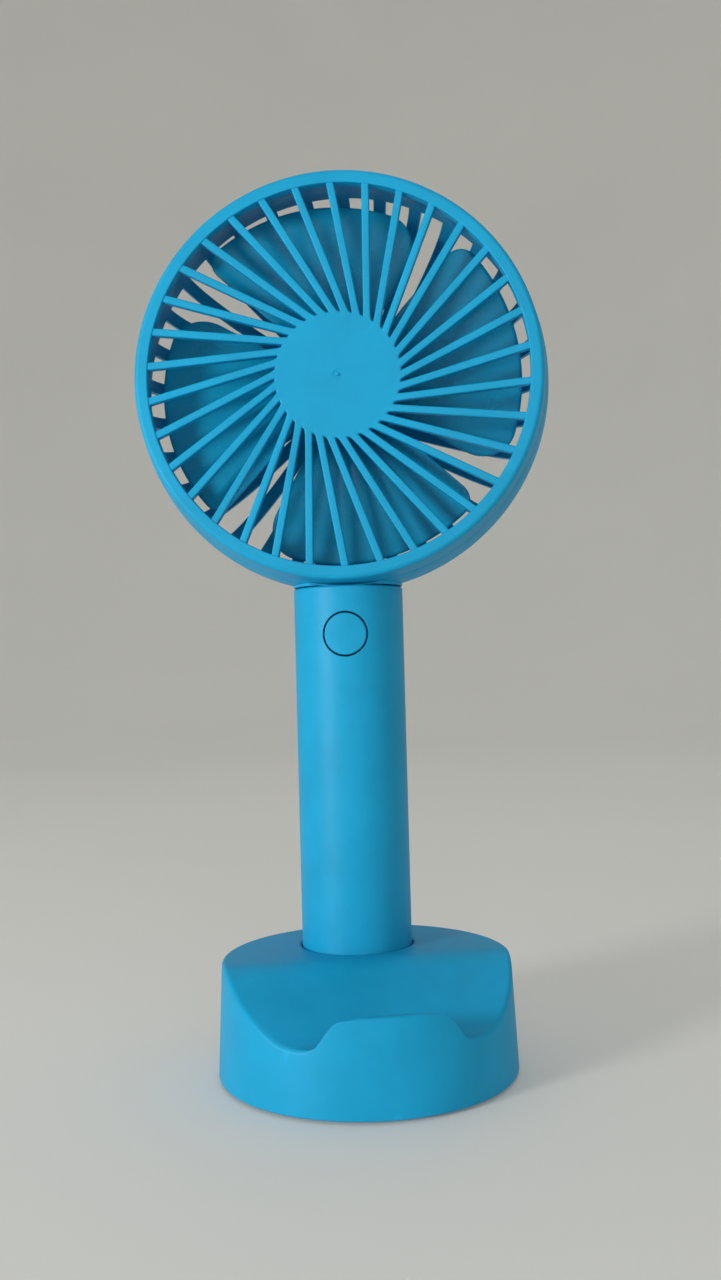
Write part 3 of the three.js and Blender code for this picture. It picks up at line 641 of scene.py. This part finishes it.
def round_port(name, radius, flare, height, side, segments=96):
    """A cutter through the handle's wall, with a flared mouth. side is -1 for the front, 1 for the back."""
    mouth = HANDLE_RADIUS + 0.02
    bend = flare * 0.3
    profile = rounded([
        (0, mouth - 4, 0), (radius, mouth - 4, 0), (radius, mouth - flare, 0),
        (radius + bend, mouth - bend, 0), (radius + flare, mouth, 0), (radius + flare, mouth + 2, 0),
        (0, mouth + 2, 0),
    ])
    level = at_height(height)
    cutter = revolve(name, profile, segments, level @ Matrix.Rotation(math.radians(90) * -side, 4, "X"))
    return warp(cutter, lambda x, y, z: (x, y - side * sagitta(min(abs(x), HANDLE_RADIUS - 1)), z), level)


def build_handle():
    """The tube, open at both ends, with ports for button, USB socket, charge light and neck screw."""
    inner = HANDLE_RADIUS - HANDLE_WALL
    tube = revolve("tube", rounded([
        (inner, HANDLE_FOOT, 0), (HANDLE_RADIUS, HANDLE_FOOT, 0.25), (HANDLE_RADIUS, HANDLE_TOP, 0.6),
        (inner, HANDLE_TOP, 0),
    ], 6), HANDLE_SEGMENTS, FAN)
    button_port = round_port("button_port", BUTTON_RADIUS + BUTTON_GAP, 0.22, BUTTON_HEIGHT, -1)
    light_port = round_port("light_port", 1.1, 0.12, LIGHT_HEIGHT, 1, 48)
    screw_port = round_port("screw_port", 2.4, 0.12, NECK_SCREW_HEIGHT, 1, 64)
    outside = HANDLE_RADIUS + 3
    usb_port = eased_block("usb_port", (-4.4, 6, -1.95), (4.4, outside, 1.95), 0.9, 6, at_height(USB_HEIGHT))
    combine(tube, [button_port, light_port, screw_port, usb_port], "DIFFERENCE")
    return finish_piece(tube, "handle", "fan_body", "blue_plastic", blue_plastic, "handle_tube")


def build_button():
    """A cap with a stem and a flange inside the handle, and a face that follows the handle's curve."""
    face = HANDLE_RADIUS - 0.05
    neck = BUTTON_RADIUS - 0.4
    level = at_height(BUTTON_HEIGHT)
    cap = revolve("button", rounded([
        (0, 8.0, 0), (1.6, 8.0, 0.2), (1.6, 8.9, 0), (BUTTON_FLANGE_RADIUS, 8.9, 0.2),
        (BUTTON_FLANGE_RADIUS, BUTTON_FLANGE, 0.2), (neck, BUTTON_FLANGE, 0), (neck, 11.4, 0),
        (BUTTON_RADIUS, 11.6, 0), (BUTTON_RADIUS, face, 0.28), (0, face, 0),
    ], 5), 96, level @ FACING_FRONT)

    def follow(x, y, z):
        share = max(0.0, min(1.0, (-y - BUTTON_FLANGE) / 1.5))
        return (x, y + sagitta(x) * share, z)

    warp(cap, follow, level)
    return finish_piece(cap, "button_cap", "button", "blue_plastic", blue_plastic, "power_button")


def build_battery_cap():
    """A screw cap with a skirt inside the tube and a coin slot in its underside."""
    foot = low("battery_cap")
    top = high("battery_cap")
    shoulder = foot + 3.5
    floor = foot + 2.0
    skirt = HANDLE_RADIUS - HANDLE_WALL - 0.4
    bore = skirt - 1.4
    cap = revolve("cap", rounded([
        (0, foot, 0), (HANDLE_RADIUS, foot, 0.9), (HANDLE_RADIUS, shoulder, 0.25), (skirt, shoulder, 0),
        (skirt, top, 0.3), (bore, top, 0.2), (bore, floor, 0.3), (0, floor, 0),
    ], 6), NECK_SEGMENTS, FAN)
    slot = eased_block("coin_slot", (-8, -0.9, foot - 2), (8, 0.9, foot + 1.1), 0.3, 3, FAN)
    combine(cap, [slot], "DIFFERENCE")
    return finish_piece(cap, "battery_screw_cap", "cap", "blue_plastic", blue_plastic, "battery_cap")


def build_neck_screw():
    """A cross-head screw, from the top of its head to its tip."""
    profile = rounded([
        (0, 0, 0), (2.0, 0, 0.35), (2.0, 0.9, 0.1), (1.0, 0.9, 0), (1.0, 3.6, 0.1), (0.25, 4.4, 0),
        (0, 4.4, 0),
    ], 4)
    place = FAN @ Matrix.Translation((0, HANDLE_RADIUS - 0.3, NECK_SCREW_HEIGHT)) @ FACING_FRONT
    screw = revolve("screw", profile, 48, place)
    cross = [block("arm", (-x, -y, -1), (x, y, 0.5), place) for x, y in ((1.1, 0.24), (0.24, 1.1))]
    combine(screw, cross, "DIFFERENCE")
    return finish_piece(screw, "neck_fixing_screw", "fan_body", "steel", MATERIALS["steel"], "neck_screw")


def build_usb_socket():
    """A rolled sheet shell of the usual six-sided outline, with its tongue."""
    back = low_in_fan("usb_socket", 1)
    mouth = high_in_fan("usb_socket", 1)
    place = at_height(USB_HEIGHT)

    def outline(inset):
        half = 3.8 - inset
        rise = 1.35 - inset
        chamfer = 0.9
        low_left = [(-half, -rise + chamfer), (-half + chamfer, -rise)]
        low_right = [(half - chamfer, -rise), (half, -rise + chamfer)]
        return low_left + low_right + [(half, rise), (-half, rise)]

    def bar(name, inset, start, end):
        return loft(name, [[(x, y, z) for x, z in outline(inset)] for y in (start, end)], place)

    shell = bar("usb", 0, back, mouth)
    combine(shell, [bar("usb_inside", 0.32, mouth - 5.2, mouth + 2)], "DIFFERENCE")
    tongue = block("tongue", (-2.5, back + 1, 0.1), (2.5, mouth - 1.0, 0.7), place)
    combine(shell, [tongue], "UNION")
    return finish_piece(shell, "usb_shell", "fan_body", "steel", MATERIALS["steel"], "usb_socket")


# ---- head ----------------------------------------------------------------------------------------
def bowl(inset, steps=24):
    """The rear shell's outline as (radius, depth), from its front edge to the flat middle of its back."""
    deep = HEAD_DEPTH - inset
    side = SHELL_RADIUS - inset
    front = [(RING_BACK_RADIUS + 0.05 - inset, SHELL_FRONT), (SHELL_RADIUS - 0.2 - inset, SHELL_WIDEST - 5)]
    front += [(side, SHELL_WIDEST)]
    back = [(side, SHELL_WIDEST), (side, SHELL_WIDEST + 10), (44 - inset, deep), (18, deep)]
    front_part = [bezier(front, i / steps) for i in range(steps)]
    return front_part + [bezier(back, i / steps) for i in range(steps + 1)]


def bowl_depth(radius, inset):
    """How far behind the front face the bowl's back curve lies at a radius."""
    back = [point for point in bowl(inset, 40) if point[1] >= SHELL_WIDEST][::-1]
    for near, far in zip(back, back[1:]):
        if radius <= far[0]:
            return near[1] + (far[1] - near[1]) * (radius - near[0]) / (far[0] - near[0])
    return SHELL_WIDEST


def slanted_bar(name, turn, inner, outer, sweep, station, stations=14, ease=0.35):
    """A straight bar from a point on one circle to a point on another, swept round at its inner end.
    station(radius, share) gives the bar's width, front depth and back depth there."""
    start = Vector((inner * math.sin(turn + sweep), inner * math.cos(turn + sweep)))
    end = Vector((outer * math.sin(turn), outer * math.cos(turn)))
    along = (end - start).normalized()
    across = Vector((along.y, -along.x))
    sections = []
    for k in range(stations + 1):
        share = k / stations
        middle = start.lerp(end, share)
        width, front, back = station(middle.length, share)
        half = width / 2
        outline = rounded([
            (0, front, 0), (half, front, ease), (half, back, ease * 0.5), (-half, back, ease * 0.5),
            (-half, front, ease), (0, front, 0),
        ], 3)[:-1]
        sections.append([(middle.x + across.x * u, depth, middle.y + across.y * u) for u, depth in outline])
    return loft(name, sections, HEAD)


def build_front_grille():
    """The rim, the hub disc and the swept spokes between them, as one moulding."""
    rim_back = RING_BACK + 0.08
    rim = revolve("rim", rounded([
        (RIM_START, RIM_DEPTH, 0), (RING_INNER, RIM_DEPTH, 0.2), (RING_INNER, 0, 0.35),
        (RING_OUTER - 0.15, 0, 1.3), (RING_BACK_RADIUS, rim_back, 0.15),
        (RING_BACK_RADIUS - SHELL_WALL, rim_back, 0.2), (RING_OUTER - 1.7, RIM_DEPTH, 0.5),
        (RIM_START, RIM_DEPTH, 0),
    ], 7)[:-1], RIM_SEGMENTS, HEAD_ROUND)
    hub_back = HUB_FRONT + SPOKE_DEPTH
    dish = HUB_FRONT + 0.12
    gate_mark = [(0, HUB_FRONT - 0.35, 0), (0.4, HUB_FRONT - 0.3, 0.2), (0.55, dish, 0), (1.1, dish, 0)]
    hub = revolve("hub", rounded(gate_mark + [
        (1.2, HUB_FRONT, 0), (5, HUB_FRONT, 0), (10, HUB_FRONT, 0), (HUB_RADIUS - 1.2, HUB_FRONT, 0),
        (HUB_RADIUS, HUB_FRONT, 0.55), (HUB_RADIUS, hub_back, 0.2), (0, hub_back, 0),
    ], 5), HEAD_SEGMENTS, HEAD_ROUND)
    inner = HUB_RADIUS - 2.0
    outer = RING_INNER + 1.6

    def station(radius, share):
        flare = max(0.0, 1 - (radius - HUB_RADIUS + 0.6) / 2.6)
        front = HUB_FRONT + (RIM_SPOKE_FRONT - HUB_FRONT) * share
        width = SPOKE_WIDTH * (0.90 + 0.10 * min(1.0, share * 2)) * (1 + 0.2 * flare ** 2)
        return width, front + 0.03, front + SPOKE_DEPTH

    spokes = [
        slanted_bar(f"spoke_{i}", SPOKE_PHASE + TAU * i / SPOKES, inner, outer, SPOKE_SWEEP, station)
        for i in range(SPOKES)
    ]
    combine(rim, [hub, *spokes], "UNION")
    return finish_piece(rim, "grille_front", "grille", "blue_plastic", blue_plastic, "front_grille", sharp=40)


def rib_station(width):
    """What slanted_bar() needs for a bar that lies in the bowl's wall."""
    def station(radius, share):
        return width, bowl_depth(radius, SHELL_WALL) + 0.05, bowl_depth(radius, 0) - 0.05
    return station


def build_rear_shell():
    """The bowl with its band, ribs and back disc, the motor's cup and posts, and the neck with its spigot."""
    def band_side(inset):
        kept = [point for point in bowl(inset) if point[1] < CLOSED_DEPTH - 0.2]
        return kept + [(kept[-1][0] - 0.04, CLOSED_DEPTH)]

    band = revolve("band", band_side(0) + band_side(SHELL_WALL)[::-1], RIM_SEGMENTS, HEAD_ROUND)
    inner_back = HEAD_DEPTH - SHELL_WALL
    motor_front = low_depth("motor_can")
    cup_inner = MOTOR_RADIUS + 0.4
    cup_outer = MOTOR_RADIUS + 2.0
    cup_front = motor_front + 3.2
    disc = revolve("disc", rounded([
        (0, HEAD_DEPTH, 0), (REAR_RIB_INNER, bowl_depth(REAR_RIB_INNER, 0), 0.3),
        (REAR_RIB_INNER, inner_back, 0.3), (cup_outer, inner_back, 0.4), (cup_outer, cup_front, 0.3),
        (cup_inner, cup_front, 0.3), (cup_inner, inner_back, 0), (0, inner_back, 0),
    ], 5), HEAD_SEGMENTS, HEAD_ROUND)
    ribs = [
        slanted_bar(f"rib_{i}", REAR_RIB_PHASE + TAU * i / REAR_RIBS, REAR_RIB_INNER - 1.2, REAR_RIB_OUTER,
                    REAR_RIB_SWEEP, rib_station(REAR_RIB_WIDTH), 40, 0.3)
        for i in range(REAR_RIBS)
    ]
    spine = slanted_bar("spine", math.pi, REAR_RIB_INNER - 1.5, REAR_RIB_OUTER, 0, rib_station(8.0), 40, 0.3)

    neck_foot = HANDLE_TOP + SEAM
    neck_top = neck_foot + 14
    column = revolve("column", rounded([
        (0, neck_foot, 0), (HANDLE_RADIUS, neck_foot, 0.25), (HANDLE_RADIUS, neck_top, 0), (0, neck_top, 0),
    ], 5), NECK_SEGMENTS, FAN)
    room_front = RING_BACK - 2
    inside = revolve("inside", [
        (0, room_front), (RING_BACK_RADIUS - SHELL_WALL, room_front), *bowl(SHELL_WALL), (0, inner_back),
    ], HEAD_SEGMENTS, HEAD_ROUND)
    combine(column, [inside], "DIFFERENCE")
    below = revolve("below", rod(HANDLE_RADIUS + 0.3, 100, neck_foot), 96, FAN)
    combine(band, [below], "DIFFERENCE")

    floor = revolve("floor", rod(HANDLE_RADIUS - 0.1, neck_foot, neck_foot + 2.3), NECK_SEGMENTS, FAN)
    spigot_outer = HANDLE_RADIUS - HANDLE_WALL - SEAM
    spigot_inner = spigot_outer - 2.4
    spigot_foot = BUTTON_HEIGHT + 6.9
    spigot_top = neck_foot + 1
    spigot = revolve("spigot", rounded([
        (spigot_inner, spigot_foot, 0), (spigot_outer, spigot_foot, 0.5), (spigot_outer, spigot_top, 0),
        (spigot_inner, spigot_top, 0),
    ], 4), HUB_SEGMENTS, FAN)
    screw_circle = motor_screw_circle()
    post_places = [HEAD @ Matrix.Translation((x, 0, 0)) @ ABOUT_Y for x in (-screw_circle, screw_circle)]
    post_shape = rod(POST_RADIUS, motor_front + 0.3, HEAD_DEPTH - 1)
    posts = [revolve("post", post_shape, 48, place) for place in post_places]
    combine(band, [disc, spine, column, floor, spigot, *posts, *ribs], "UNION")

    grille_room = revolve("room", rod(RING_BACK_RADIUS + 0.45, -5, SHELL_FRONT), HEAD_SEGMENTS, HEAD_ROUND)
    lead_hole = revolve("lead_hole", rod(4.2, 100, neck_foot + 5), 64, FAN @ Matrix.Translation((0, 4, 0)))
    lead_notch = block("lead_notch", (-4.2, inner_back - 4, -20), (4.2, inner_back, -8), HEAD)
    pilot_shape = rod(1.2, motor_front - 1, motor_front + 8)
    pilots = [revolve("pilot", pilot_shape, 32, place) for place in post_places]
    neck_pilot = revolve("neck_pilot", rod(1.25, 5, 13), 32, at_height(NECK_SCREW_HEIGHT) @ ABOUT_Y)
    combine(band, [grille_room, lead_hole, lead_notch, neck_pilot, *pilots], "DIFFERENCE")
    return finish_piece(band, "shell_rear", "fan_body", "blue_plastic", blue_plastic, "rear_shell", sharp=38)


def build_impeller():
    """Four pitched blades with rounded edges and corners, on a cup-shaped hub with a boss for the shaft."""
    root = IMPELLER_HUB - 0.6
    middle = (BLADE_FRONT + BLADE_BACK) / 2
    rise = (BLADE_BACK - BLADE_FRONT - BLADE_THICKNESS) / 2
    edge = BLADE_ROUNDING
    radii = [root + (BLADE_TIP - BLADE_TIP_ZONE - root) * i / 12 for i in range(12)]
    radii += [BLADE_TIP - BLADE_TIP_ZONE * (1 - math.sin(math.pi / 2 * i / 14)) - edge[-1] for i in range(14)]
    radii += [BLADE_TIP - distance for distance in reversed(edge)]
    along = len(radii) - 1
    across = 44

    def reach(radius, corner):
        """Half the blade's angle on one side of its centre line."""
        into = max(0.0, radius - BLADE_TIP + corner)
        cut = corner - math.sqrt(corner * corner - into * into)
        root_ease = math.radians(2.5) * max(0.0, 1 - (radius - root) / 12)
        return BLADE_HALF_SPAN - cut / radius - root_ease

    def blade(index):
        centre = BLADE_PHASE + TAU * index / BLADES
        bm = bmesh.new()

        def point(i, j, side):
            radius = radii[j]
            from_edge = min(i, across - i)
            side_sign = 1 if 2 * i > across else -1
            limit = reach(radius, BLADE_CORNERS[side_sign > 0])
            if from_edge < len(edge):
                turn = side_sign * (limit - edge[from_edge] / radius)
                inward = edge[from_edge]
            else:
                last = limit - edge[-1] / radius
                turn = side_sign * last * (1 - (from_edge - len(edge) + 1) / (across / 2 - len(edge) + 1))
                inward = edge[-1]
            inward = min(inward, BLADE_TIP - radius)
            thick = BLADE_THICKNESS * (0.3 + 0.7 * math.sqrt(1 - (1 - min(1.0, inward / edge[-1])) ** 2))
            depth = middle + rise * turn / BLADE_HALF_SPAN + side * thick / 2
            return (radius * math.sin(centre + turn), depth, radius * math.cos(centre + turn))

        sides = {}
        for side in (-1, 1):
            grid = [[bm.verts.new(point(i, j, side)) for j in range(along + 1)] for i in range(across + 1)]
            for i in range(across):
                for j in range(along):
                    bm.faces.new((grid[i][j], grid[i + 1][j], grid[i + 1][j + 1], grid[i][j + 1]))
            sides[side] = grid
        border = [(i, 0) for i in range(across)] + [(across, j) for j in range(along)]
        border += [(i, along) for i in range(across, 0, -1)] + [(0, j) for j in range(along, 0, -1)]
        for here, following in zip(border, border[1:] + border[:1]):
            front_edge = [sides[-1][i][j] for i, j in (here, following)]
            back_edge = [sides[1][i][j] for i, j in (following, here)]
            bm.faces.new(front_edge + back_edge)
        return solid(f"blade_{index}", bm, HEAD)

    front = BLADE_FRONT - 0.6
    back = BLADE_BACK + 0.2
    inside = IMPELLER_HUB - IMPELLER_WALL
    floor = front + 2.2
    bore = 1.15
    bore_end = front + 1.4
    hub = revolve("impeller", rounded([
        (0, front, 0), (IMPELLER_HUB, front, 2.2), (IMPELLER_HUB, back, 0.3), (inside, back, 0.3),
        (inside, floor, 0.8), (IMPELLER_BOSS, floor, 0.3), (IMPELLER_BOSS, back, 0.3), (bore, back, 0),
        (bore, bore_end, 0), (0, bore_end, 0),
    ], 6), HUB_SEGMENTS, HEAD_ROUND)
    blades = [blade(i) for i in range(BLADES)]
    combine(hub, blades, "UNION")
    hollow = revolve("hollow", [
        (IMPELLER_BOSS, floor), (inside, floor), (inside, back + 3), (IMPELLER_BOSS, back + 3),
    ], HUB_SEGMENTS, HEAD_ROUND)
    combine(hub, [hollow], "DIFFERENCE")
    tinted = MATERIALS["blade_plastic"]
    return finish_piece(hub, "blade_wheel", "rotor", "blade_plastic", tinted, "impeller", sharp=50)


# ---- floor, light and camera ---------------------------------------------------------------------
def build_stage():
    """A pale floor that curves up into a round wall."""
    floor = Nodes("studio_floor")
    pale = (0.78, 0.77, 0.73)
    floor.join(floor.ramp(floor.noise(3, 2), [(0.3, shade(pale, 0.985)), (0.7, shade(pale, 1.015))]),
               floor.shader.inputs["Base Color"])
    floor.set(Roughness=0.75, Emission_Color=(*pale, 1), Emission_Strength=0.10)
    profile = rounded([(0, 0, 0), (STUDIO_RADIUS, 0, STUDIO_CURVE), (STUDIO_RADIUS, STUDIO_HEIGHT, 0)], 24)
    bm = bmesh.new()
    turn_outline(bm, profile, 96, False)
    bmesh.ops.transform(bm, matrix=Matrix.Scale(MM, 4), verts=bm.verts)
    bmesh.ops.reverse_faces(bm, faces=bm.faces)
    mesh = bpy.data.meshes.new("studio")
    bm.to_mesh(mesh)
    bm.free()
    mesh.shade_smooth()
    mesh.materials.append(floor.material)
    studio = bpy.data.objects.new("studio", mesh)
    bpy.context.scene.collection.objects.link(studio)


def area_light(name, place, aim, size, power, colour):
    """A soft round light, in metres and watts, that the camera doesn't see."""
    data = bpy.data.lights.new(name, "AREA")
    data.shape = "DISK"
    data.size = size
    data.energy = power
    data.color = colour
    light = bpy.data.objects.new(name, data)
    light.location = place
    light.rotation_mode = "QUATERNION"
    light.rotation_quaternion = (Vector(aim) - Vector(place)).to_track_quat("-Z", "Y")
    light.visible_camera = False
    bpy.context.scene.collection.objects.link(light)


def build_light():
    middle = (0, 0, 0.12)
    area_light("key", (-0.92, -0.55, 0.235), middle, size=0.26, power=7.2, colour=(1.0, 0.985, 0.96))
    area_light("fill", (-0.10, -1.20, 0.50), middle, size=0.8, power=2.3, colour=(0.95, 0.98, 1.0))
    area_light("top", (0.1, 0.5, 1.5), (0, 0.3, 0), size=1.4, power=3.0, colour=(1.0, 1.0, 1.0))
    world = bpy.data.worlds.new("studio_air")
    world.use_nodes = True
    background = world.node_tree.nodes["Background"]
    background.inputs["Color"].default_value = (0.9, 0.95, 1.0, 1)
    background.inputs["Strength"].default_value = 0.28
    bpy.context.scene.world = world
    bpy.context.scene.view_settings.view_transform = "Standard"


def build_camera():
    data = bpy.data.cameras.new("camera")
    data.sensor_width = CAMERA_SENSOR
    data.lens = CAMERA_LENS
    data.clip_start = 0.01
    data.clip_end = 20
    camera = bpy.data.objects.new("camera", data)
    camera.location = CAMERA_PLACE
    camera.rotation_mode = "XYZ"
    camera.rotation_euler = CAMERA_TURN
    bpy.context.scene.collection.objects.link(camera)
    bpy.context.scene.camera = camera


build_camera()
build_stage()
build_light()
build_dock()
build_pad()
build_handle()
build_button()
build_battery_cap()
build_neck_screw()
build_usb_socket()
build_front_grille()
build_rear_shell()
build_impeller()

for name, node in NODES.items():
    node.data.materials.clear()
    node.data.materials.append(MATERIALS[SLOT_OF[name]])
